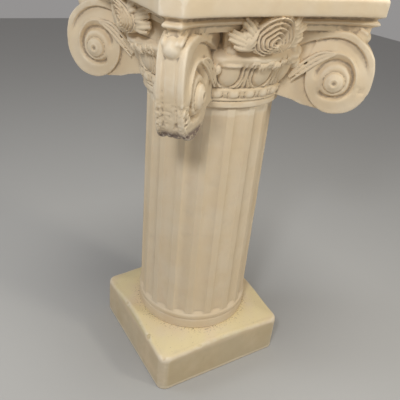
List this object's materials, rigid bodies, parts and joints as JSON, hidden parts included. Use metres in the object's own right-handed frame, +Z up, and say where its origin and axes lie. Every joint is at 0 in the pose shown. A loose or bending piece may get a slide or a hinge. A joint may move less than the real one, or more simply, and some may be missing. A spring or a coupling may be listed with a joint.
{
  "type": "column pedestal",
  "caption": "Cast plaster display pedestal: square domed plinth, fluted shaft and a capital with diagonal volutes, roses and a hollow-sided abacus.",
  "frame": {"origin": "centre of the plinth's underside", "axes": "+Z up along the column, the front face looks along -Y"},
  "size_m": [0.414, 0.414, 0.762],
  "materials": {
    "plinth": "matte cast plaster, cream with a yellowed top and brown dirt round the shaft",
    "shaft": "matte cast plaster, pale cream, faint scuffs",
    "capital": "matte cast plaster, pale cream, chipped on one volute, dirt in the hollows"
  },
  "bodies": {
    "root": {"plinth": "plinth", "shaft": "shaft", "capital": "capital"}
  },
  "joints": []
}
